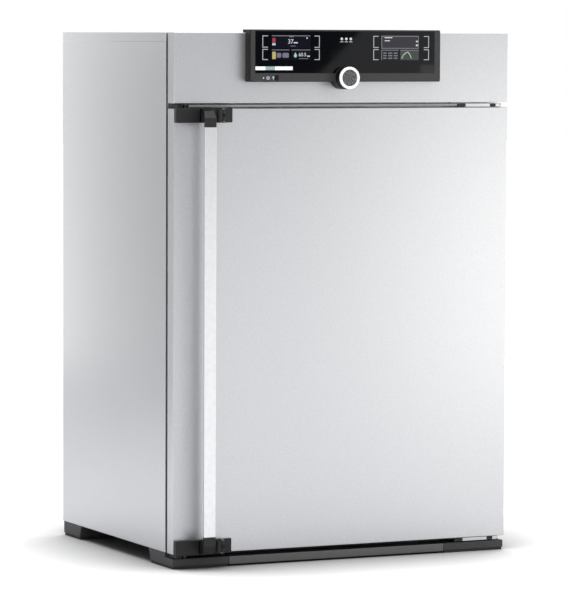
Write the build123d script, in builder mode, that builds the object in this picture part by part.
"""Constant climate chamber: cabinet, door with bar handle, control cockpit, inner glass door
and thermoelectric rear unit. Millimetres, +Z up, +Y to the rear. The origin lies on the
standing surface, below the middle of the whole machine."""

import os

from build123d import *

# Overall size
WIDTH = 824
CABINET_TOP = 1176
BODY_DEPTH = 646
REAR_DEPTH = 128
FASCIA_HEIGHT = 154.3
FOOT_HEIGHT = 33
HANDLE_GAP = 28
BAR_DEEP = 28

# Sheet metal, clearances and seams
SHEET = 1.5
FLANGE = 18
SKIRT = 20
FIT = 0.2
RUN = 0.05
SOFT = 0.3
SEAM = 12

# Door and fascia
DOOR_THICK = 33
GAP_ABOVE = 11.7
EDGE_ROUND = 1.2

# Walls round the working chamber, and what it holds
SIDE_WALL = 92
FLOOR_WALL = 87
CEILING_DROP = 90
REAR_WALL = 49.5
PLENUM = 50
RIB_OUT = 8
RIB_HEIGHT = 6
RIB_PITCH = 100
RIB_SETBACK = 22
SHELF_LEVELS = (1, -3)
SHELF_BAR = 8
SHELF_WIRE = 4
SHELF_PITCH = 26
SHELF_CLEAR = 2
DECK_ABOVE = 27

# Derived planes
HALF = WIDTH / 2
HANDLE_OUT = HANDLE_GAP + BAR_DEEP
DOOR_BOTTOM = FOOT_HEIGHT + FIT
DOOR_TOP = CABINET_TOP - FASCIA_HEIGHT - GAP_ABOVE
DOOR_FRONT = -(BODY_DEPTH + REAR_DEPTH - HANDLE_OUT) / 2
DOOR_BACK = DOOR_FRONT + DOOR_THICK
BODY_FRONT = DOOR_BACK + SEAM
BODY_BACK = DOOR_FRONT + BODY_DEPTH
REAR = BODY_BACK + REAR_DEPTH
FRAME_BACK = BODY_FRONT + SHEET
FASCIA_BOTTOM = DOOR_TOP + GAP_ABOVE
PANEL_TOP = CABINET_TOP - SKIRT - 2 * FIT
INNER_HALF = HALF - FLANGE - FIT
TRAY_TOP = FOOT_HEIGHT + SHEET

CHAMBER_HALF = HALF - SIDE_WALL
CHAMBER_FLOOR = FOOT_HEIGHT + FLOOR_WALL
CHAMBER_TOP = DOOR_TOP - CEILING_DROP
CHAMBER_MID = (CHAMBER_FLOOR + CHAMBER_TOP) / 2
LINER_BACK = BODY_BACK - REAR_WALL
BAFFLE_FRONT = LINER_BACK - PLENUM
DECK = CHAMBER_TOP + SHEET + DECK_ABOVE


def ordered(first, second):
    """Two limits, the lower one first."""
    return (min(first, second), max(first, second))


def about(centre, half):
    """Limits at equal distances from a centre."""
    return (centre - half, centre + half)


def grow(span, amount):
    """Limits moved outwards, or inwards by a negative amount."""
    return (span[0] - amount, span[1] + amount)


def block(x_span, y_span, z_span, mode=Mode.ADD):
    """An upright block between three pairs of limits."""
    spans = (x_span, y_span, z_span)
    with Locations(tuple(sum(span) / 2 for span in spans)):
        Box(*(span[1] - span[0] for span in spans), mode=mode)


def rod_y(x, z, radius, y_span, mode=Mode.ADD):
    """A round rod that lies front to back."""
    with Locations(Location((x, sum(y_span) / 2, z), (90, 0, 0))):
        Cylinder(radius, y_span[1] - y_span[0], mode=mode)


def rod_z(x, y, radius, z_span, mode=Mode.ADD):
    """An upright round rod."""
    with Locations((x, y, sum(z_span) / 2)):
        Cylinder(radius, z_span[1] - z_span[0], mode=mode)


def prism_x(x_span, profile):
    """A bar along X with the given outline of (y, z) points."""
    with BuildSketch(Plane.YZ.offset(x_span[0])) as side:
        with BuildLine():
            Polyline(*profile, close=True)
        make_face()
    extrude(side.sketch, x_span[1] - x_span[0])


def facing_rear(x, y, z):
    """A plane whose normal points to the rear, for wheels that turn about it."""
    return Plane(origin=(x, y, z), x_dir=(1, 0, 0), z_dir=(0, 1, 0))


# Side panels: one folded sheet each, with an inward flange at the front and at the rear
def side_panel(side):
    outer = side * HALF
    with BuildPart() as panel:
        block(ordered(outer, outer - side * SHEET), (BODY_FRONT, BODY_BACK), (FOOT_HEIGHT, PANEL_TOP))
        for edge in (BODY_FRONT, BODY_BACK - SHEET):
            block(ordered(outer, outer - side * FLANGE), (edge, edge + SHEET), (FOOT_HEIGHT, PANEL_TOP))
    return panel


side_panel_left = side_panel(-1)
side_panel_right = side_panel(1)

# Top cover: a lid sheet with a skirt all round
skirt_z = (CABINET_TOP - SKIRT, CABINET_TOP)
with BuildPart() as top_cover:
    block((-HALF, HALF), (BODY_FRONT, BODY_BACK), skirt_z)
    block(about(0, HALF - SHEET), (FRAME_BACK, BODY_BACK - SHEET),
          (skirt_z[0], CABINET_TOP - SHEET), Mode.SUBTRACT)

# Base tray: floor sheet with an apron that shows dark below the door
APRON_DROP = 10
with BuildPart() as base_tray:
    block(about(0, HALF - SHEET - FIT), (FRAME_BACK + FIT, BODY_BACK - SHEET - FIT),
          (FOOT_HEIGHT, TRAY_TOP))
    block(about(0, INNER_HALF), (BODY_FRONT, FRAME_BACK + FIT), (FOOT_HEIGHT - APRON_DROP, TRAY_TOP))

# Hinge axis and latch places, shared by the door and the cabinet
HINGE_IN = 18
HINGE_BEHIND = 15
ARM_LENGTH = 105
LATCH_IN = 20
LATCH_BEHIND = 9
STRIKE_HALF = 12
hinge_x = HALF - HINGE_IN
hinge_y = DOOR_FRONT + HINGE_BEHIND
latch_x = LATCH_IN - HALF
latch_y = DOOR_FRONT + LATCH_BEHIND

# Front frame: the plate that the door closes on, with the light rail in the gap above the door
WIRING_HALF = 90
WIRING_BELOW = (66, 31)
RAIL_THICK = 4
RAIL_SETBACK = 3
RAIL_CLEAR = 4
wiring_z = (CABINET_TOP - WIRING_BELOW[0], CABINET_TOP - WIRING_BELOW[1])
with BuildPart() as front_frame:
    block(about(0, INNER_HALF), (BODY_FRONT, FRAME_BACK), (TRAY_TOP + FIT, PANEL_TOP))
    block(about(0, CHAMBER_HALF), (BODY_FRONT, FRAME_BACK), (CHAMBER_FLOOR, CHAMBER_TOP), Mode.SUBTRACT)
    block(about(0, WIRING_HALF), (BODY_FRONT, FRAME_BACK), wiring_z, Mode.SUBTRACT)
    block((latch_x + STRIKE_HALF + RAIL_CLEAR, hinge_x - ARM_LENGTH - RAIL_CLEAR),
          (DOOR_FRONT + RAIL_SETBACK, BODY_FRONT),
          (DOOR_TOP + RAIL_CLEAR, DOOR_TOP + RAIL_CLEAR + RAIL_THICK))

# Working chamber: open box with shelf ribs on both walls
STEAM_FROM_WALL = 40
STEAM_FROM_REAR = 167
STEAM_PIPE_R = 7
FAN_BELOW_TOP = 130
FAN_SHAFT_R = 4
WHEEL_R = 80
COLD_HALF = 150
COLD_ABOVE_FLOOR = 140
COLD_BELOW_WHEEL = 90
COLD_EDGE = 38
MODULE_SIZE = 62
MODULE_GAP = 10
MODULE_THICK = 4.5
steam_x = STEAM_FROM_WALL - CHAMBER_HALF
steam_y = BODY_BACK - STEAM_FROM_REAR
fan_z = CHAMBER_TOP - FAN_BELOW_TOP
cold_z = (CHAMBER_FLOOR + COLD_ABOVE_FLOOR, fan_z - WHEEL_R - COLD_BELOW_WHEEL)
module_pitch = MODULE_SIZE + MODULE_GAP
module_columns = int(2 * (COLD_HALF - COLD_EDGE) / module_pitch)
module_rows = int((cold_z[1] - cold_z[0] - 2 * COLD_EDGE) / module_pitch)
module_x = about(0, module_columns * module_pitch / 2)
module_z = about(sum(cold_z) / 2, module_rows * module_pitch / 2)
rib_count = int((CHAMBER_TOP - CHAMBER_FLOOR + FIT) / RIB_PITCH) - 1
rib_levels = [CHAMBER_FLOOR + RIB_PITCH * (level + 1) for level in range(rib_count)]
rib_y = (FRAME_BACK + RIB_SETBACK, BAFFLE_FRONT - RIB_SETBACK)
liner_y = (FRAME_BACK, LINER_BACK + SHEET)
liner_z = grow((CHAMBER_FLOOR, CHAMBER_TOP), SHEET)
with BuildPart() as working_chamber:
    block(about(0, CHAMBER_HALF + SHEET), liner_y, liner_z)
    block(about(0, CHAMBER_HALF), (FRAME_BACK, LINER_BACK), (CHAMBER_FLOOR, CHAMBER_TOP), Mode.SUBTRACT)
    for side in (-1, 1):
        for level in rib_levels:
            block(ordered(side * CHAMBER_HALF, side * (CHAMBER_HALF - RIB_OUT)), rib_y,
                  (level - RIB_HEIGHT, level))
    block(grow(module_x, FIT), (LINER_BACK, LINER_BACK + SHEET), grow(module_z, FIT), Mode.SUBTRACT)
    rod_y(0, fan_z, FAN_SHAFT_R + SHEET, (LINER_BACK, LINER_BACK + SHEET), Mode.SUBTRACT)
    rod_z(steam_x, steam_y, STEAM_PIPE_R + FIT, (CHAMBER_TOP, CHAMBER_TOP + SHEET), Mode.SUBTRACT)

# Shelves: wire grids that rest on the ribs
shelf_half = CHAMBER_HALF - SHELF_CLEAR
shelf_y = grow(rib_y, -RIB_SETBACK / 2)


def shelf_grid(bottom):
    block(about(0, shelf_half), shelf_y, (bottom, bottom + SHELF_BAR))
    block(about(0, shelf_half - SHELF_BAR), grow(shelf_y, -SHELF_BAR), (bottom, bottom + SHELF_BAR),
          Mode.SUBTRACT)
    wires = int(2 * (shelf_half - SHELF_BAR) / SHELF_PITCH) - 1
    with Locations((0, sum(shelf_y) / 2, bottom + SHELF_BAR - SHELF_WIRE / 2)):
        with GridLocations(SHELF_PITCH, 1, wires, 1):
            Box(SHELF_WIRE, shelf_y[1] - shelf_y[0] - SHELF_BAR, SHELF_WIRE)


with BuildPart() as shelves:
    for shelf_level in SHELF_LEVELS:
        shelf_grid(rib_levels[shelf_level])

# Baffle: the sheet in front of the fan and the cold heat exchanger, on four posts
BAFFLE_EDGE = 4
BAFFLE_VENT = 30
BAFFLE_POST = 12
POST_INSET = 60
INTAKE_R = 70
INTAKE_BAR = 3
THREE_BARS = (0, 60, 120)
SLOT_WIDTH = 6
SLOT_LENGTH = 60
SLOT_PITCH = 24
baffle_half = CHAMBER_HALF - BAFFLE_EDGE
baffle_z = grow((CHAMBER_FLOOR, CHAMBER_TOP), -BAFFLE_VENT)
with BuildPart() as baffle:
    block(about(0, baffle_half), (BAFFLE_FRONT, BAFFLE_FRONT + SHEET), baffle_z)
    for post_x in about(0, baffle_half - POST_INSET):
        for post_z in grow(baffle_z, -POST_INSET):
            block(about(post_x, BAFFLE_POST / 2), (BAFFLE_FRONT, LINER_BACK), about(post_z, BAFFLE_POST / 2))
    rod_y(0, fan_z, INTAKE_R, (BAFFLE_FRONT, BAFFLE_FRONT + SHEET), Mode.SUBTRACT)
    for bar_turn in THREE_BARS:
        with Locations(Location((0, BAFFLE_FRONT + SHEET / 2, fan_z), (0, bar_turn, 0))):
            Box(2 * INTAKE_R + SHEET, SHEET, INTAKE_BAR)
    for row_z in about(sum(cold_z) / 2, SLOT_LENGTH):
        with Locations((0, BAFFLE_FRONT + SHEET / 2, row_z)):
            with GridLocations(SLOT_PITCH, 1, 2 * int(module_x[1] / SLOT_PITCH) + 1, 1):
                Box(SLOT_WIDTH, SHEET, SLOT_LENGTH, mode=Mode.SUBTRACT)

# Chamber fan: wheel in the plenum, motor in the rear insulation
WHEEL_DEPTH = 30
WHEEL_DISC = 2
WHEEL_HUB_R = 14
WHEEL_BLADES = 24
BLADE_CHORD = 20
BLADE_THICK = 1.5
BLADE_LEAN = 30
WHEEL_GAP = 4
MOTOR_R = 35
MOTOR_CLEAR = 6.5
SHAFT_SEAT = 20
wheel_back = LINER_BACK - WHEEL_GAP
with BuildPart(facing_rear(0, wheel_back, fan_z)) as fan_wheel:
    with Locations((0, 0, -WHEEL_DISC / 2)):
        Cylinder(WHEEL_R, WHEEL_DISC)
    with Locations((0, 0, -WHEEL_DEPTH / 2)):
        Cylinder(WHEEL_HUB_R, WHEEL_DEPTH)
        with PolarLocations(WHEEL_R - BLADE_CHORD / 2 - WHEEL_DISC, WHEEL_BLADES):
            Box(BLADE_CHORD, BLADE_THICK, WHEEL_DEPTH, rotation=(0, 0, BLADE_LEAN))
    shaft_length = WHEEL_GAP + SHEET + SHAFT_SEAT
    with Locations((0, 0, shaft_length / 2)):
        Cylinder(FAN_SHAFT_R, shaft_length)
motor_y = (LINER_BACK + SHEET, BODY_BACK - SHEET - MOTOR_CLEAR)
with BuildPart() as fan_motor:
    rod_y(0, fan_z, MOTOR_R, motor_y)
    rod_y(0, fan_z, FAN_SHAFT_R + RUN, (motor_y[0], motor_y[0] + SHAFT_SEAT + FIT), Mode.SUBTRACT)

# Thermoelectric unit: cold heat exchanger, modules and rear heat sink
COLD_BASE = 8
COLD_FIN = 27
SINK_HALF = 160
SINK_BEYOND = 30
SINK_BASE = 8
SINK_FIN = 62
FIN_THICK = 2.5
FIN_PITCH = 12.5


def finned_plate(half, z_span, base_y, fin_y):
    block(about(0, half), base_y, z_span)
    fins = int(2 * (half - FIN_THICK) / FIN_PITCH) + 1
    with Locations((0, sum(fin_y) / 2, sum(z_span) / 2)):
        with GridLocations(FIN_PITCH, 1, fins, 1):
            Box(FIN_THICK, fin_y[1] - fin_y[0], z_span[1] - z_span[0])


module_front = BODY_BACK - MODULE_THICK
with BuildPart() as cold_heat_exchanger:
    finned_plate(COLD_HALF, cold_z, (LINER_BACK - COLD_BASE, LINER_BACK),
                 (LINER_BACK - COLD_BASE - COLD_FIN, LINER_BACK - COLD_BASE))
    block(module_x, (LINER_BACK, module_front), module_z)
with BuildPart() as peltier_modules:
    for column in range(module_columns):
        for row in range(module_rows):
            module_left = module_x[0] + column * module_pitch + MODULE_GAP / 2
            module_bottom = module_z[0] + row * module_pitch + MODULE_GAP / 2
            block((module_left, module_left + MODULE_SIZE), (module_front, BODY_BACK),
                  (module_bottom, module_bottom + MODULE_SIZE))
with BuildPart() as rear_heatsink:
    finned_plate(SINK_HALF, grow(cold_z, SINK_BEYOND), (BODY_BACK, BODY_BACK + SINK_BASE),
                 (BODY_BACK + SINK_BASE, BODY_BACK + SINK_BASE + SINK_FIN))

# Insulation: one block of wool round the chamber, cut where pieces pass through it
with BuildPart() as chamber_insulation:
    block(about(0, HALF - SHEET - 2 * FIT), (FRAME_BACK + 2 * FIT, BODY_BACK - SHEET - FIT),
          (TRAY_TOP + FIT, DECK - FIT))
    block(about(0, CHAMBER_HALF + SHEET + FIT), (FRAME_BACK, LINER_BACK + SHEET + FIT),
          grow(liner_z, FIT), Mode.SUBTRACT)
    block(grow(module_x, FIT), (LINER_BACK, BODY_BACK), grow(module_z, FIT), Mode.SUBTRACT)
    rod_y(0, fan_z, MOTOR_R + FIT, (LINER_BACK, motor_y[1] + FIT), Mode.SUBTRACT)
    rod_z(steam_x, steam_y, STEAM_PIPE_R + FIT, (CHAMBER_TOP, DECK), Mode.SUBTRACT)

# Electronics deck: the sheet above the insulation that carries supply, board and boiler
with BuildPart() as electronics_deck:
    block(about(0, HALF - SHEET - 2 * FIT), (FRAME_BACK + 2 * FIT, BODY_BACK - SHEET - FIT),
          (DECK, DECK + SHEET))
    rod_z(steam_x, steam_y, STEAM_PIPE_R + FIT, (DECK, DECK + SHEET), Mode.SUBTRACT)
deck_top = DECK + SHEET

BOARD_SIZE = (250, 190)
BOARD_THICK = 1.6
STANDOFF = 10
STANDOFF_R = 4
STANDOFF_INSET = 10
BOARD_PARTS = ((-80, -50, 60, 50, 40), (20, -50, 40, 30, 25),
               (80, 30, 50, 80, 30), (-70, 50, 80, 30, 18))
board_bottom = deck_top + STANDOFF
with BuildPart() as main_board:
    with Locations((0, 0, board_bottom + BOARD_THICK / 2)):
        Box(*BOARD_SIZE, BOARD_THICK)
    with Locations((0, 0, deck_top + STANDOFF / 2)):
        with GridLocations(BOARD_SIZE[0] - 2 * STANDOFF_INSET, BOARD_SIZE[1] - 2 * STANDOFF_INSET, 2, 2):
            Cylinder(STANDOFF_R, STANDOFF)
    for part_x, part_y, length, depth, height in BOARD_PARTS:
        with Locations((part_x, part_y, board_bottom + BOARD_THICK + height / 2)):
            Box(length, depth, height)
SUPPLY_SIZE = (180, 120, 60)
SUPPLY_GAP = 15
with BuildPart() as power_supply:
    with Locations((BOARD_SIZE[0] / 2 + SUPPLY_GAP + SUPPLY_SIZE[0] / 2, 0, deck_top + SUPPLY_SIZE[2] / 2)):
        Box(*SUPPLY_SIZE)
        chamfer(power_supply.edges().filter_by(Axis.Z), SHEET)

# Steam generator: boiler can with its pipe down into the chamber
BOILER_R = 45
BOILER_HEIGHT = 120
BOILER_ROUND = 10
PIPE_WALL = 1.5
PIPE_DROP = 12
with BuildPart() as steam_generator:
    rod_z(steam_x, steam_y, BOILER_R, (deck_top, deck_top + BOILER_HEIGHT))
    fillet(steam_generator.edges().group_by(Axis.Z)[-1], BOILER_ROUND)
    rod_z(steam_x, steam_y, STEAM_PIPE_R, (CHAMBER_TOP - PIPE_DROP, deck_top))
    rod_z(steam_x, steam_y, STEAM_PIPE_R - PIPE_WALL, (CHAMBER_TOP - PIPE_DROP, deck_top), Mode.SUBTRACT)

# Water inlet: line from the boiler to a hose barb on the rear panel
WATER_ABOVE_DECK = 80
LINE_R = 5
BARB_R = 4
BARB_LENGTH = 22
INLET_FLANGE_R = 12
INLET_FLANGE = 3
water_z = deck_top + WATER_ABOVE_DECK
barb_y = (BODY_BACK + INLET_FLANGE, BODY_BACK + INLET_FLANGE + BARB_LENGTH)
with BuildPart() as water_inlet:
    rod_y(steam_x, water_z, LINE_R, (steam_y + BOILER_R + FIT, BODY_BACK))
    rod_y(steam_x, water_z, INLET_FLANGE_R, (BODY_BACK, barb_y[0]))
    rod_y(steam_x, water_z, BARB_R, barb_y)

# Mains inlet: a three-pin appliance inlet in the rear panel
MAINS_IN = 112
MAINS_ABOVE_DECK = 90
MAINS_BODY = (28, 20)
MAINS_BEZEL = 6
MAINS_DEEP = 22
MAINS_WALL = 2
PIN_SIZE = (2, 4)
PIN_LENGTH = 14
PIN_PLACES = ((-7, -2), (0, 2), (7, -2))
mains_x = about(HALF - MAINS_IN, MAINS_BODY[0] / 2)
mains_z = about(deck_top + MAINS_ABOVE_DECK, MAINS_BODY[1] / 2)
with BuildPart() as mains_inlet:
    block(mains_x, (BODY_BACK - MAINS_DEEP, BODY_BACK), mains_z)
    block(grow(mains_x, MAINS_BEZEL), (BODY_BACK, BODY_BACK + MAINS_WALL), grow(mains_z, MAINS_BEZEL))
    block(grow(mains_x, -MAINS_WALL), (BODY_BACK - MAINS_DEEP + MAINS_WALL, BODY_BACK + MAINS_WALL),
          grow(mains_z, -MAINS_WALL), Mode.SUBTRACT)
    pin_start = BODY_BACK - MAINS_DEEP + MAINS_WALL
    for pin_x, pin_z in PIN_PLACES:
        block(about(sum(mains_x) / 2 + pin_x, PIN_SIZE[0] / 2), (pin_start, pin_start + PIN_LENGTH),
              about(sum(mains_z) / 2 + pin_z, PIN_SIZE[1] / 2))

# Rear panel: closes the cabinet, with holes for modules, water and mains
with BuildPart() as rear_panel:
    rear_y = (BODY_BACK - SHEET, BODY_BACK)
    block(about(0, INNER_HALF), rear_y, (TRAY_TOP + FIT, PANEL_TOP))
    block(grow(module_x, FIT), rear_y, grow(module_z, FIT), Mode.SUBTRACT)
    rod_y(steam_x, water_z, LINE_R + FIT, rear_y, Mode.SUBTRACT)
    block(grow(mains_x, FIT), rear_y, grow(mains_z, FIT), Mode.SUBTRACT)

# Sensor probes: temperature and humidity, on the baffle
PROBE_IN = (91, 61)
PROBE_BELOW_TOP = 100
PROBE_R = (3, 6)
PROBE_LENGTH = 60
PROBE_FOOT_R = 9
PROBE_FOOT = 3
with BuildPart() as sensor_probes:
    probe_z = CHAMBER_TOP - PROBE_BELOW_TOP
    for probe_in, probe_r in zip(PROBE_IN, PROBE_R):
        probe_x = baffle_half - probe_in
        rod_y(probe_x, probe_z, probe_r, (BAFFLE_FRONT - PROBE_LENGTH, BAFFLE_FRONT))
        rod_y(probe_x, probe_z, PROBE_FOOT_R, (BAFFLE_FRONT - PROBE_FOOT, BAFFLE_FRONT))

# Rear cover: sheet hood over the heat sink, with fan guards and side vents
COVER_HALF = 230
COVER_ABOVE_FLOOR = 60
COVER_BELOW_TOP = 100
COVER_FLANGE = 15
GUARD_THICK = 3
ROTOR_TIP_R = 55
TIP_GAP = 2
FAN_WALL = 3
FAN_DEPTH = 25
REAR_FAN_RISE = (160, 340)
GUARD_RINGS = (54, 40, 26)
GUARD_RING = 2.5
GUARD_HUB_R = 15
GUARD_TURNS = (45, 135)
GUARD_OVERLAP = 5
VENT_COUNT = 9
VENT_SIZE = (60, 8)
VENT_PITCH = 22
fan_bore_r = ROTOR_TIP_R + TIP_GAP
cover_z = (CHAMBER_FLOOR + COVER_ABOVE_FLOOR, CHAMBER_TOP - COVER_BELOW_TOP)
fan_centres = [cover_z[0] + rise for rise in REAR_FAN_RISE]
cover_back = REAR - GUARD_THICK
cover_wall = (cover_back - SHEET, cover_back)
with BuildPart() as rear_cover:
    block(about(0, COVER_HALF), (BODY_BACK, cover_back), cover_z)
    block(about(0, COVER_HALF - SHEET), (BODY_BACK, cover_back - SHEET), grow(cover_z, -SHEET),
          Mode.SUBTRACT)
    block(about(0, COVER_HALF + COVER_FLANGE), (BODY_BACK, BODY_BACK + SHEET), grow(cover_z, COVER_FLANGE))
    block(about(0, COVER_HALF - SHEET), (BODY_BACK, BODY_BACK + SHEET), grow(cover_z, -SHEET),
          Mode.SUBTRACT)
    for index in range(VENT_COUNT):
        vent_z = sum(cover_z) / 2 + (index - (VENT_COUNT - 1) / 2) * VENT_PITCH
        block(about(0, COVER_HALF), about((BODY_BACK + cover_back) / 2, VENT_SIZE[0] / 2),
              about(vent_z, VENT_SIZE[1] / 2), Mode.SUBTRACT)
    for centre_z in fan_centres:
        rod_y(0, centre_z, fan_bore_r, cover_wall, Mode.SUBTRACT)
        for ring in GUARD_RINGS:
            rod_y(0, centre_z, ring + GUARD_RING / 2, (cover_back, REAR))
            rod_y(0, centre_z, ring - GUARD_RING / 2, (cover_back, REAR), Mode.SUBTRACT)
        rod_y(0, centre_z, GUARD_HUB_R, (cover_back, REAR))
        for bar_turn in GUARD_TURNS:
            with Locations(Location((0, cover_back + GUARD_THICK / 2, centre_z), (0, bar_turn, 0))):
                Box(2 * (fan_bore_r + GUARD_OVERLAP), GUARD_THICK, GUARD_RING)

# Rear fans: square frames on the cover's rear wall, rotors on pins in their hubs
ROTOR_HUB_R = 18
ROTOR_BLADES = 7
ROTOR_DEPTH = 14
ROTOR_PITCH = 35
ROTOR_BLADE = 1.6
HUB_PLATE = 5
FAN_PIN_R = 3
fan_back = cover_back - SHEET
fan_front = fan_back - FAN_DEPTH
hub_front = fan_back - HUB_PLATE
with BuildPart() as rear_fan_frames:
    for centre_z in fan_centres:
        block(about(0, fan_bore_r + FAN_WALL), (fan_front, fan_back), about(centre_z, fan_bore_r + FAN_WALL))
        rod_y(0, centre_z, fan_bore_r, (fan_front, fan_back), Mode.SUBTRACT)
        rod_y(0, centre_z, ROTOR_HUB_R, (hub_front, fan_back))
        for strut_turn in THREE_BARS:
            with Locations(Location((0, fan_back - HUB_PLATE / 2, centre_z), (0, strut_turn, 0))):
                Box(2 * fan_bore_r + HUB_PLATE, HUB_PLATE, HUB_PLATE)
        rod_y(0, centre_z, FAN_PIN_R + RUN, (hub_front, fan_back), Mode.SUBTRACT)


def rear_fan_rotor(centre_z):
    with BuildPart(facing_rear(0, hub_front - FIT, centre_z)) as rotor:
        with Locations((0, 0, -ROTOR_DEPTH / 2)):
            Cylinder(ROTOR_HUB_R - FIT, ROTOR_DEPTH)
            blade_reach = (ROTOR_HUB_R / 2 + ROTOR_TIP_R) / 2
            with PolarLocations(blade_reach, ROTOR_BLADES):
                Box(ROTOR_TIP_R - ROTOR_HUB_R / 2, ROTOR_BLADE, ROTOR_DEPTH, rotation=(ROTOR_PITCH, 0, 0))
        with Locations((0, 0, HUB_PLATE / 2)):
            Cylinder(FAN_PIN_R, HUB_PLATE)
    return rotor


rear_fan_rotor_lower = rear_fan_rotor(fan_centres[0])
rear_fan_rotor_upper = rear_fan_rotor(fan_centres[1])

# Feet: two front blocks with a step behind the door, and two rear blocks
FRONT_FOOT_LEFT = 137
FRONT_FOOT_RIGHT = 153
FRONT_FOOT_SETBACK = 4
FRONT_FOOT_BACK = 137
REAR_FOOT_SETBACK = (114, 6)
REAR_FOOT_WIDTH = 110
FOOT_SLOPE = 10
STEP_DROP = 11
PAD = 6
PAD_INSET = 2
foot_step = FOOT_HEIGHT - STEP_DROP
foot_front = DOOR_FRONT + FRONT_FOOT_SETBACK
step_y = FRAME_BACK + 2 * FIT
front_foot_back = DOOR_FRONT + FRONT_FOOT_BACK
rear_foot = (BODY_BACK - REAR_FOOT_SETBACK[0], BODY_BACK - REAR_FOOT_SETBACK[1])
front_profile = [(foot_front, PAD), (foot_front, foot_step), (step_y, foot_step), (step_y, FOOT_HEIGHT),
                 (front_foot_back, FOOT_HEIGHT), (front_foot_back - FOOT_SLOPE, PAD)]
rear_profile = [(rear_foot[0] + FOOT_SLOPE, PAD), (rear_foot[0], FOOT_HEIGHT),
                (rear_foot[1], FOOT_HEIGHT), (rear_foot[1], PAD)]
foot_spans = [((-HALF, FRONT_FOOT_LEFT - HALF), front_profile),
              ((HALF - FRONT_FOOT_RIGHT, HALF), front_profile),
              ((-HALF, REAR_FOOT_WIDTH - HALF), rear_profile),
              ((HALF - REAR_FOOT_WIDTH, HALF), rear_profile)]
with BuildPart() as feet:
    for x_span, profile in foot_spans:
        prism_x(x_span, profile)
with BuildPart() as foot_pads:
    for x_span, profile in foot_spans:
        ground = [point[0] for point in profile if point[1] == PAD]
        block(grow(x_span, -PAD_INSET), grow(ordered(*ground), -PAD_INSET), (0, PAD))

# Plinth bar between the front feet
PLINTH_DEPTH = 30
PLINTH_CLEAR = 4
with BuildPart() as plinth_bar:
    block((FRONT_FOOT_LEFT - HALF, HALF - FRONT_FOOT_RIGHT), (foot_front, foot_front + PLINTH_DEPTH),
          (PLINTH_CLEAR, foot_step))

# Fascia: shallow box with an inward flange at the back and a wiring window behind the cockpit
fascia_z = (FASCIA_BOTTOM, CABINET_TOP)
with BuildPart() as fascia:
    block((-HALF, HALF), (DOOR_FRONT, DOOR_BACK), fascia_z)
    fillet(fascia.faces().sort_by(Axis.Y)[0].edges(), EDGE_ROUND)
    block(about(0, HALF - SHEET), (DOOR_FRONT + SHEET, DOOR_BACK - SHEET), grow(fascia_z, -SHEET),
          Mode.SUBTRACT)
    block(about(0, HALF - FLANGE), (DOOR_BACK - SHEET, DOOR_BACK), grow(fascia_z, -FLANGE), Mode.SUBTRACT)
    block(about(0, WIRING_HALF), (DOOR_FRONT, DOOR_FRONT + SHEET), wiring_z, Mode.SUBTRACT)

# Seam profile: the dark ring between the fascia and the cabinet
SEAM_INSET = 8
SEAM_WIDTH = 14
seam_z = (FASCIA_BOTTOM + SEAM_INSET, CABINET_TOP - SEAM_INSET)
with BuildPart() as seam_profile:
    block(about(0, HALF - SEAM_INSET), (DOOR_BACK, BODY_FRONT), seam_z)
    block(about(0, HALF - SEAM_INSET - SEAM_WIDTH), (DOOR_BACK, BODY_FRONT), grow(seam_z, -SEAM_WIDTH),
          Mode.SUBTRACT)

# Door: outer pan, inner sheet, wool between them and a gasket on the back
HINGE_PIN_R = 5
BUSH_HALF = 13
BUSH_HEIGHT = 24
GASKET_INSET = 24
GASKET_WIDTH = 16
door_z = (DOOR_BOTTOM, DOOR_TOP)
door_inside = (DOOR_FRONT + SHEET, DOOR_BACK - SHEET)
bush_spans = [(DOOR_BOTTOM + SHEET, DOOR_BOTTOM + SHEET + BUSH_HEIGHT),
              (DOOR_TOP - SHEET - BUSH_HEIGHT, DOOR_TOP - SHEET)]
with BuildPart() as door_outer:
    block((-HALF, HALF), (DOOR_FRONT, DOOR_BACK), door_z)
    fillet(door_outer.faces().sort_by(Axis.Y)[0].edges(), EDGE_ROUND)
    block(about(0, HALF - SHEET), (DOOR_FRONT + SHEET, DOOR_BACK), grow(door_z, -SHEET), Mode.SUBTRACT)
    rod_z(hinge_x, hinge_y, HINGE_PIN_R + SHEET, grow(door_z, SHEET), Mode.SUBTRACT)
with BuildPart() as hinge_bushes:
    for bush_z in bush_spans:
        block(about(hinge_x, BUSH_HALF), door_inside, bush_z)
        rod_z(hinge_x, hinge_y, HINGE_PIN_R + RUN, bush_z, Mode.SUBTRACT)
with BuildPart() as door_inner:
    block(about(0, HALF - SHEET - FIT), (DOOR_BACK - SHEET, DOOR_BACK), grow(door_z, -SHEET - FIT))
with BuildPart() as door_insulation:
    block(about(0, HALF - SHEET - FIT), grow(door_inside, -FIT), grow(door_z, -SHEET - FIT))
    for bush_z in bush_spans:
        block(about(hinge_x, 2 * BUSH_HALF), door_inside, grow(bush_z, FIT), Mode.SUBTRACT)
gasket_z = grow(door_z, -GASKET_INSET)
gasket_y = (DOOR_BACK, BODY_FRONT - SOFT)
with BuildPart() as door_gasket:
    block(about(0, HALF - GASKET_INSET), gasket_y, gasket_z)
    block(about(0, HALF - GASKET_INSET - GASKET_WIDTH), gasket_y, grow(gasket_z, -GASKET_WIDTH),
          Mode.SUBTRACT)

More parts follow.
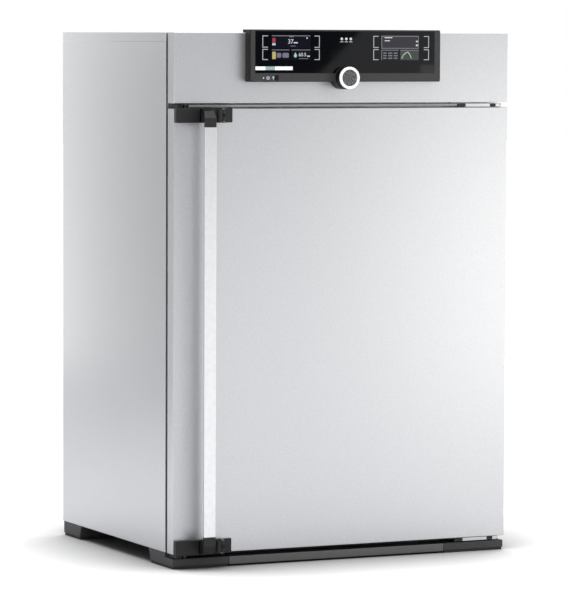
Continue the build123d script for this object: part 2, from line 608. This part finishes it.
# Hinge arms with their pins: one above the door and one below it, fixed to the cabinet
ARM_CLEAR = 1.5
ARM_THICK = 7
ARM_ROUND_R = 9
TAB_THICK = 3
TAB_RISE = 7
arm_top = (DOOR_TOP + ARM_CLEAR, DOOR_TOP + ARM_CLEAR + ARM_THICK)
arm_bottom = (DOOR_BOTTOM - ARM_CLEAR - ARM_THICK, DOOR_BOTTOM - ARM_CLEAR)
pin_bottom = (arm_bottom[0], bush_spans[0][1])
pin_top = (bush_spans[1][0], arm_top[1])
with BuildPart() as hinge_arms:
    for arm_z, pin_z in ((arm_top, pin_top), (arm_bottom, pin_bottom)):
        block((hinge_x - ARM_LENGTH, hinge_x), (hinge_y - ARM_ROUND_R, BODY_FRONT), arm_z)
        rod_z(hinge_x, hinge_y, ARM_ROUND_R, arm_z)
        rod_z(hinge_x, hinge_y, HINGE_PIN_R, pin_z)
    block((hinge_x - ARM_LENGTH, hinge_x), (BODY_FRONT - TAB_THICK, BODY_FRONT),
          (arm_top[1], arm_top[1] + TAB_RISE))

# Latch: rollers on the brackets sit in open notches of strike plates on the cabinet
ROLLER_R = 5
NOTCH_CLEAR = 0.6
LUG_THICK = 1.6
STRIKE_THICK = 7.4
STRIKE_SETBACK = 2
lug_top = (DOOR_TOP + SOFT, DOOR_TOP + SOFT + LUG_THICK)
lug_bottom = (DOOR_BOTTOM - SOFT - LUG_THICK, DOOR_BOTTOM - SOFT)
roller_spans = [(lug_bottom[0] - STRIKE_THICK, lug_bottom[0]), (lug_top[1], lug_top[1] + STRIKE_THICK)]
strike_spans = [(roller_spans[0][0], roller_spans[0][1] - SOFT),
                (roller_spans[1][0] + SOFT, roller_spans[1][1])]
with BuildPart() as strike_plates:
    for strike_z in strike_spans:
        block(about(latch_x, STRIKE_HALF), (DOOR_FRONT + STRIKE_SETBACK, BODY_FRONT), strike_z)
        block(about(latch_x, ROLLER_R + NOTCH_CLEAR), (DOOR_FRONT, latch_y), strike_z, Mode.SUBTRACT)
        rod_z(latch_x, latch_y, ROLLER_R + NOTCH_CLEAR, strike_z, Mode.SUBTRACT)
with BuildPart() as latch_rollers:
    for roller_z in roller_spans:
        rod_z(latch_x, latch_y, ROLLER_R, roller_z)

# Handle: brackets on the door, levers that turn on upright pins, and the square bar
BRACKET_WIDTH = 140
BRACKET_HEIGHT = 40
BRACKET_BEYOND = (7.7, 11)
BRACKET_PLATE = 4
BRACKET_SLAB = 13
BRACKET_BLOCK = 16
SLAB_CLEAR = 4.5
BAR_IN = 48.5
BAR_WIDE = 28.5
BAR_SHORT = (41.5, 39.2)
BAR_WALL = 3
BAR_ROUND = 3
PIVOT_FROM_END = 28
PIVOT_PIN_R = 4
KNUCKLE_R = 8
KNUCKLE_CLEAR = 1
ARM_BEHIND = 4
ARM_CLEAR_Z = 4
EAR = 7
CAP_HEIGHT = 35
CAP_CHAMFER = 14
PLUG_DEPTH = 20
pivot_x = BRACKET_WIDTH - PIVOT_FROM_END - HALF
pivot_y = DOOR_FRONT - BRACKET_PLATE - KNUCKLE_CLEAR - KNUCKLE_R
bar_x = (BAR_IN - HALF, BAR_IN + BAR_WIDE - HALF)
bar_y = (DOOR_FRONT - HANDLE_OUT, DOOR_FRONT - HANDLE_GAP)
bar_z = (DOOR_BOTTOM + BAR_SHORT[0], DOOR_TOP - BAR_SHORT[1])
bracket_bottom = DOOR_BOTTOM - BRACKET_BEYOND[0]
bracket_top = DOOR_TOP + BRACKET_BEYOND[1]
bracket_spans = [(bracket_bottom, bracket_bottom + BRACKET_HEIGHT),
                 (bracket_top - BRACKET_HEIGHT, bracket_top)]
lug_y = (DOOR_FRONT, latch_y + ROLLER_R)
block_x = (pivot_x + KNUCKLE_R + KNUCKLE_CLEAR, BRACKET_WIDTH - HALF)


def handle_bracket(z_span, lug_z):
    block((-HALF, block_x[1]), (DOOR_FRONT - BRACKET_PLATE, DOOR_FRONT), z_span)
    block((-HALF, bar_x[0] - SLAB_CLEAR), (DOOR_FRONT - BRACKET_SLAB, DOOR_FRONT), z_span)
    block(block_x, (DOOR_FRONT - BRACKET_BLOCK, DOOR_FRONT), z_span)
    for ear_z in ((z_span[0], z_span[0] + EAR), (z_span[1] - EAR, z_span[1])):
        rod_z(pivot_x, pivot_y, KNUCKLE_R, ear_z)
        block(about(pivot_x, KNUCKLE_R), (pivot_y, DOOR_FRONT), ear_z)
    rod_z(pivot_x, pivot_y, PIVOT_PIN_R + RUN, z_span, Mode.SUBTRACT)
    block(about(latch_x, ROLLER_R), lug_y, lug_z)


with BuildPart() as handle_brackets:
    handle_bracket(bracket_spans[0], lug_bottom)
    handle_bracket(bracket_spans[1], lug_top)
with BuildPart() as lever_pins:
    for z_span in bracket_spans:
        rod_z(pivot_x, pivot_y, PIVOT_PIN_R, z_span)


def handle_lever(bar_end, outward, bracket_z):
    cap_end = bar_end + outward * CAP_HEIGHT
    prism_x(bar_x, [(bar_y[0], bar_end), (bar_y[0], cap_end - outward * CAP_CHAMFER),
                    (bar_y[0] + CAP_CHAMFER, cap_end), (bar_y[1], cap_end), (bar_y[1], bar_end)])
    arm_z = grow(bracket_z, -EAR - ARM_CLEAR_Z)
    arm_y = (pivot_y - KNUCKLE_R, pivot_y + ARM_BEHIND)
    block((bar_x[0], pivot_x), arm_y, arm_z)
    block(bar_x, (bar_y[1] - FIT, arm_y[0] + FIT), arm_z)
    rod_z(pivot_x, pivot_y, KNUCKLE_R, arm_z)
    rod_z(pivot_x, pivot_y, PIVOT_PIN_R + RUN, arm_z, Mode.SUBTRACT)
    block(grow(bar_x, -BAR_WALL - FIT), grow(bar_y, -BAR_WALL - FIT),
          ordered(bar_end, bar_end - outward * PLUG_DEPTH))


with BuildPart() as handle_levers:
    handle_lever(bar_z[0], -1, bracket_spans[0])
    handle_lever(bar_z[1], 1, bracket_spans[1])
with BuildPart() as handle_bar:
    block(bar_x, bar_y, bar_z)
    fillet(handle_bar.edges().filter_by(Axis.Z), BAR_ROUND)
    block(grow(bar_x, -BAR_WALL), grow(bar_y, -BAR_WALL), bar_z, Mode.SUBTRACT)

# Inner glass door: pane and seal on two small hinges, with a finger knob
GLASS_FROM_GASKET = 22
GLASS_OVERLAP = 22
GLASS_THICK = 4
GLASS_SEAL = 2.7
SEAL_WIDTH = 10
SEAL_INSET = 4
GLASS_PIVOT_OUT = 8
GLASS_PIVOT_BEHIND = 1.5
GLASS_KNUCKLE_R = 4.2
GLASS_PIN_R = 2
GLASS_LEAF = 2
LEAF_OUT = 10
CLIP_REACH = 38
CLIP_HEIGHT = 20
CLIP_INSIDE = 1
GLASS_HINGE_IN = 80
FINGER_R = 9
FINGER_IN = 14
DOOR_CLEAR = 1
glass_half = HALF - GASKET_INSET - GASKET_WIDTH - GLASS_FROM_GASKET
glass_z = grow((CHAMBER_FLOOR, CHAMBER_TOP), GLASS_OVERLAP)
glass_hinge_z = grow((CHAMBER_FLOOR, CHAMBER_TOP), -GLASS_HINGE_IN)
glass_back = BODY_FRONT - SOFT - GLASS_SEAL
glass_front = glass_back - GLASS_THICK
glass_pivot_x = glass_half + GLASS_PIVOT_OUT
glass_pivot_y = glass_front + GLASS_PIVOT_BEHIND
finger_front = DOOR_BACK + DOOR_CLEAR
clip_front = finger_front + CLIP_INSIDE
with BuildPart() as glass_pane:
    block(about(0, glass_half), (glass_front, glass_back), glass_z)
with BuildPart() as glass_seal:
    seal_y = (glass_back, glass_back + GLASS_SEAL)
    block(about(0, glass_half - SEAL_INSET), seal_y, grow(glass_z, -SEAL_INSET))
    block(about(0, glass_half - SEAL_INSET - SEAL_WIDTH), seal_y, grow(glass_z, -SEAL_INSET - SEAL_WIDTH),
          Mode.SUBTRACT)
with BuildPart() as glass_hinge_leaves:
    for height in glass_hinge_z:
        leaf_z = (height - CLIP_HEIGHT, height)
        rod_z(glass_pivot_x, glass_pivot_y, GLASS_KNUCKLE_R, leaf_z)
        block((glass_pivot_x, glass_pivot_x + LEAF_OUT), (BODY_FRONT - GLASS_LEAF, BODY_FRONT), leaf_z)
        block(about(glass_pivot_x + GLASS_KNUCKLE_R / 2, GLASS_KNUCKLE_R / 2),
              (glass_pivot_y, BODY_FRONT), leaf_z)
        rod_z(glass_pivot_x, glass_pivot_y, GLASS_PIN_R, (height, height + CLIP_HEIGHT))
with BuildPart() as glass_hinge_clips:
    for height in glass_hinge_z:
        clip_z = (height + SOFT, height + CLIP_HEIGHT)
        rod_z(glass_pivot_x, glass_pivot_y, GLASS_KNUCKLE_R, clip_z)
        block((glass_pivot_x - CLIP_REACH, glass_pivot_x), (clip_front, glass_front), clip_z)
        rod_z(glass_pivot_x, glass_pivot_y, GLASS_PIN_R + RUN, clip_z, Mode.SUBTRACT)
with BuildPart() as glass_finger_knob:
    rod_y(FINGER_IN - glass_half, CHAMBER_MID, FINGER_R, (finger_front, glass_front))

# Control cockpit: housing that hooks over the fascia, with a round boss for the knob
COCKPIT_X = (-241.4, 227.5)
COCKPIT_DROP = 107.6
COCKPIT_OUT = 26
LIP_RISE = 7
LIP_THICK = 3
LIP_BACK = 14
COCKPIT_WALL = 3
STILE = 11.7
LOWER_STRIP = 19
GLASS_PLATE = 4
LEDGE = 2
LEDGE_WIDTH = 6
KNOB_X = -10
KNOB_RISE = 8.9
KNOB_R = 24.4
BOSS_WIDER = 1.1
ENCODER_HALF = 10
SHAFT_R = 3
SHAFT_CLEAR_R = 8
DISPLAY_LEFT = (-190.5, -96)
DISPLAY_RIGHT = (79, 176.5)
DISPLAY_BELOW = (60, 4.5)
DISPLAY_DEEP = 7
BUTTON_X = -177
BUTTON_RISE = 8.8
BUTTON_SIZE = (7, 10)
USB_X = -205
USB_OPENING = (12.4, 4.8)
USB_DEEP = 13
USB_WALL = 1.2
cockpit_z = (CABINET_TOP - COCKPIT_DROP, CABINET_TOP + LIP_RISE)
cockpit_front = DOOR_FRONT - COCKPIT_OUT
knob_z = cockpit_z[0] + KNOB_RISE
button_z = cockpit_z[0] + BUTTON_RISE
boss_r = KNOB_R + BOSS_WIDER
display_z = (CABINET_TOP - DISPLAY_BELOW[0], CABINET_TOP - DISPLAY_BELOW[1])
pocket_x = (COCKPIT_X[0] + STILE, COCKPIT_X[1] - STILE)
pocket_z = (cockpit_z[0] + LOWER_STRIP, cockpit_z[1] - LIP_THICK)
glass_plate_y = (cockpit_front, cockpit_front + GLASS_PLATE)
wall_back = glass_plate_y[1] + LEDGE
usb_y = DOOR_FRONT - COCKPIT_OUT / 2
boss_box = boss_r + LEDGE
floor_z = (cockpit_z[0], cockpit_z[0] + COCKPIT_WALL)
with BuildPart() as cockpit_housing:
    block(COCKPIT_X, (cockpit_front, DOOR_FRONT), cockpit_z)
    block(COCKPIT_X, (DOOR_FRONT, DOOR_FRONT + LIP_BACK), (CABINET_TOP, cockpit_z[1]))
    rod_y(KNOB_X, knob_z, boss_r, (cockpit_front, DOOR_FRONT))
    block(grow(COCKPIT_X, -COCKPIT_WALL), (wall_back, DOOR_FRONT),
          (knob_z + boss_box, cockpit_z[1] - LIP_THICK), Mode.SUBTRACT)
    for side_x in ((COCKPIT_X[0] + COCKPIT_WALL, KNOB_X - boss_box),
                   (KNOB_X + boss_box, COCKPIT_X[1] - COCKPIT_WALL)):
        block(side_x, (wall_back, DOOR_FRONT), (floor_z[1], knob_z + boss_box), Mode.SUBTRACT)
    block(pocket_x, glass_plate_y, pocket_z, Mode.SUBTRACT)
    block(grow(pocket_x, -LEDGE_WIDTH), (glass_plate_y[1], wall_back),
          (knob_z + boss_box, pocket_z[1] - LEDGE_WIDTH), Mode.SUBTRACT)
    rod_y(KNOB_X, knob_z, boss_r, glass_plate_y)
    block(about(KNOB_X, ENCODER_HALF + FIT), (wall_back, DOOR_FRONT), about(knob_z, ENCODER_HALF + FIT),
          Mode.SUBTRACT)
    rod_y(KNOB_X, knob_z, SHAFT_CLEAR_R, (cockpit_front, wall_back), Mode.SUBTRACT)
    block(about(BUTTON_X, BUTTON_SIZE[0] / 2 + SOFT), (cockpit_front, wall_back),
          about(button_z, BUTTON_SIZE[1] / 2 + SOFT), Mode.SUBTRACT)
    block(about(USB_X, USB_OPENING[0] / 2), about(usb_y, USB_OPENING[1] / 2), floor_z, Mode.SUBTRACT)
with BuildPart() as cockpit_glass:
    block(grow(pocket_x, -FIT), glass_plate_y, (pocket_z[0] + FIT, pocket_z[1] - FIT))
    rod_y(KNOB_X, knob_z, boss_r + FIT, glass_plate_y, Mode.SUBTRACT)
display_y = (glass_plate_y[1], glass_plate_y[1] + DISPLAY_DEEP)
with BuildPart() as displays:
    for display_x in (DISPLAY_LEFT, DISPLAY_RIGHT):
        block(display_x, display_y, display_z)
with BuildPart() as control_board:
    block(grow((DISPLAY_LEFT[0], DISPLAY_RIGHT[1]), LEDGE_WIDTH), (display_y[1], display_y[1] + BOARD_THICK),
          (knob_z + boss_box + FIT, display_z[1]))
with BuildPart() as usb_port:
    usb_z = (floor_z[1], floor_z[1] + USB_DEEP)
    block(about(USB_X, USB_OPENING[0] / 2 + USB_WALL), about(usb_y, USB_OPENING[1] / 2 + USB_WALL), usb_z)
    block(about(USB_X, USB_OPENING[0] / 2), about(usb_y, USB_OPENING[1] / 2),
          (usb_z[0], usb_z[1] - USB_WALL), Mode.SUBTRACT)

# Power button: sprung push button in the lower strip, on a switch body behind it
BUTTON_OUT = 1.5
BUTTON_TRAVEL = 1.5
BUTTON_LENGTH = 14
SWITCH_GROW = 2
button_y = (cockpit_front - BUTTON_OUT, cockpit_front - BUTTON_OUT + BUTTON_LENGTH)
with BuildPart() as power_button:
    block(about(BUTTON_X, BUTTON_SIZE[0] / 2), button_y, about(button_z, BUTTON_SIZE[1] / 2))
    fillet(power_button.edges().filter_by(Axis.Y), BUTTON_OUT)
with BuildPart() as power_switch:
    switch_z = (floor_z[1], button_z + BUTTON_SIZE[1] / 2 + SWITCH_GROW)
    block(about(BUTTON_X, BUTTON_SIZE[0] / 2 + SWITCH_GROW),
          (button_y[1] + BUTTON_TRAVEL + SOFT, DOOR_FRONT), switch_z)

# Knob: encoder body in the boss, plunger behind the shaft, knob and white ring on the shaft
KNOB_FRONT = 50
KNOB_GAP = 2.5
RING_WIDTH = 6.4
RING_DEPTH = 4
FACE_DROP = 1.5
PRESS_TRAVEL = 1.5
PLUNGER = 4
ENCODER_BACK = 1.5
ring_inner_r = KNOB_R - RING_WIDTH
knob_front = DOOR_FRONT - KNOB_FRONT
knob_back = cockpit_front - KNOB_GAP
encoder_y = (wall_back, DOOR_FRONT)
bore_end = encoder_y[1] - ENCODER_BACK
plunger_y = (bore_end - PRESS_TRAVEL - SOFT - PLUNGER, bore_end - PRESS_TRAVEL - SOFT)
with BuildPart() as encoder_body:
    block(about(KNOB_X, ENCODER_HALF), encoder_y, about(knob_z, ENCODER_HALF))
    rod_y(KNOB_X, knob_z, SHAFT_R + RUN, (encoder_y[0], bore_end), Mode.SUBTRACT)
with BuildPart() as encoder_plunger:
    rod_y(KNOB_X, knob_z, SHAFT_R, plunger_y)
shaft_front = knob_front + FACE_DROP + COCKPIT_WALL
with BuildPart() as knob_shaft:
    rod_y(KNOB_X, knob_z, SHAFT_R, (shaft_front, plunger_y[0]))
with BuildPart() as control_knob:
    rod_y(KNOB_X, knob_z, KNOB_R, (knob_front + RING_DEPTH, knob_back))
    rod_y(KNOB_X, knob_z, ring_inner_r - FIT, (knob_front + FACE_DROP, knob_front + RING_DEPTH))
    rod_y(KNOB_X, knob_z, SHAFT_R, (shaft_front, knob_back), Mode.SUBTRACT)
with BuildPart() as knob_ring:
    rod_y(KNOB_X, knob_z, KNOB_R, (knob_front, knob_front + RING_DEPTH))
    rod_y(KNOB_X, knob_z, ring_inner_r, (knob_front, knob_front + RING_DEPTH), Mode.SUBTRACT)
    fillet(knob_ring.faces().sort_by(Axis.Y)[0].edges(), FACE_DROP)

pieces = {
    "side_panel_left": side_panel_left,
    "side_panel_right": side_panel_right,
    "top_cover": top_cover,
    "base_tray": base_tray,
    "rear_panel": rear_panel,
    "front_frame": front_frame,
    "fascia": fascia,
    "seam_profile": seam_profile,
    "hinge_arms": hinge_arms,
    "strike_plates": strike_plates,
    "feet": feet,
    "foot_pads": foot_pads,
    "plinth_bar": plinth_bar,
    "working_chamber": working_chamber,
    "chamber_insulation": chamber_insulation,
    "shelves": shelves,
    "baffle": baffle,
    "sensor_probes": sensor_probes,
    "fan_motor": fan_motor,
    "fan_wheel": fan_wheel,
    "cold_heat_exchanger": cold_heat_exchanger,
    "peltier_modules": peltier_modules,
    "rear_heatsink": rear_heatsink,
    "rear_cover": rear_cover,
    "rear_fan_frames": rear_fan_frames,
    "rear_fan_rotor_lower": rear_fan_rotor_lower,
    "rear_fan_rotor_upper": rear_fan_rotor_upper,
    "electronics_deck": electronics_deck,
    "main_board": main_board,
    "power_supply": power_supply,
    "steam_generator": steam_generator,
    "water_inlet": water_inlet,
    "mains_inlet": mains_inlet,
    "cockpit_housing": cockpit_housing,
    "cockpit_glass": cockpit_glass,
    "displays": displays,
    "control_board": control_board,
    "usb_port": usb_port,
    "power_switch": power_switch,
    "power_button": power_button,
    "encoder_body": encoder_body,
    "encoder_plunger": encoder_plunger,
    "knob_shaft": knob_shaft,
    "control_knob": control_knob,
    "knob_ring": knob_ring,
    "door_outer": door_outer,
    "door_inner": door_inner,
    "door_insulation": door_insulation,
    "door_gasket": door_gasket,
    "hinge_bushes": hinge_bushes,
    "handle_brackets": handle_brackets,
    "latch_rollers": latch_rollers,
    "lever_pins": lever_pins,
    "handle_levers": handle_levers,
    "handle_bar": handle_bar,
    "glass_pane": glass_pane,
    "glass_seal": glass_seal,
    "glass_hinge_leaves": glass_hinge_leaves,
    "glass_hinge_clips": glass_hinge_clips,
    "glass_finger_knob": glass_finger_knob,
}

os.makedirs("parts", exist_ok=True)
for name, piece in pieces.items():
    piece.part.label = name
    export_step(piece.part, f"parts/{name}.step")
